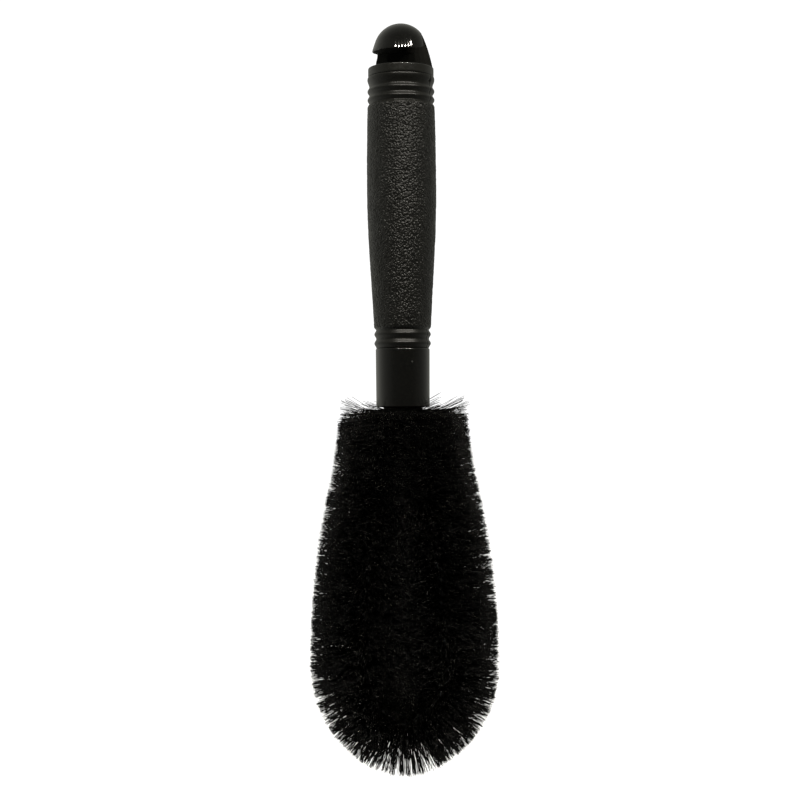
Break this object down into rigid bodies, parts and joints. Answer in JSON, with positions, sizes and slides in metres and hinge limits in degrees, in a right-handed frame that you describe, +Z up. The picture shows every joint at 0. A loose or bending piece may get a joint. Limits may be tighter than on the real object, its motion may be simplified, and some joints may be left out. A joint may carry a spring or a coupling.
{
  "type": "wheel brush",
  "caption": "Long-handled wheel brush: a loop of twisted wire dense with fine black bristles, in a tapered soft-grip handle with a glossy end cap cut open as a hanging hook.",
  "frame": {"origin": "on the handle's axis at the underside of the end cap's crown, where a peg carries the hanging brush", "axes": "+Z up the handle towards the end cap, +X to the right in the plane of the bristle loop, front of the brush towards -Y"},
  "size_m": [0.0758, 0.043, 0.3007],
  "materials": {
    "gloss_black": "glossy injection-moulded polypropylene",
    "grip_black": "matte thermoplastic rubber, leather grain",
    "core_black": "plain moulded polypropylene",
    "pin_steel": "blackened steel pin end",
    "wire_steel": "galvanised drawn wire",
    "ferrule_steel": "crimped tube",
    "bristle_black": "fine black polypropylene filament"
  },
  "bodies": {
    "root": {"hook_cap": "gloss_black", "handle_core": "core_black", "grip_sleeve": "grip_black", "collar": "gloss_black", "stem_socket": "core_black", "lock_pin": "pin_steel", "ferrule_left": "ferrule_steel", "ferrule_right": "ferrule_steel", "strand_a": "wire_steel", "strand_b": "wire_steel", "bristles_left_1": "bristle_black", "bristles_left_2": "bristle_black", "bristles_left_3": "bristle_black", "bristles_left_4": "bristle_black", "bristles_left_5": "bristle_black", "bristles_left_6": "bristle_black", "bristles_right_1": "bristle_black", "bristles_right_2": "bristle_black", "bristles_right_3": "bristle_black", "bristles_right_4": "bristle_black", "bristles_right_5": "bristle_black", "bristles_right_6": "bristle_black"}
  },
  "joints": []
}
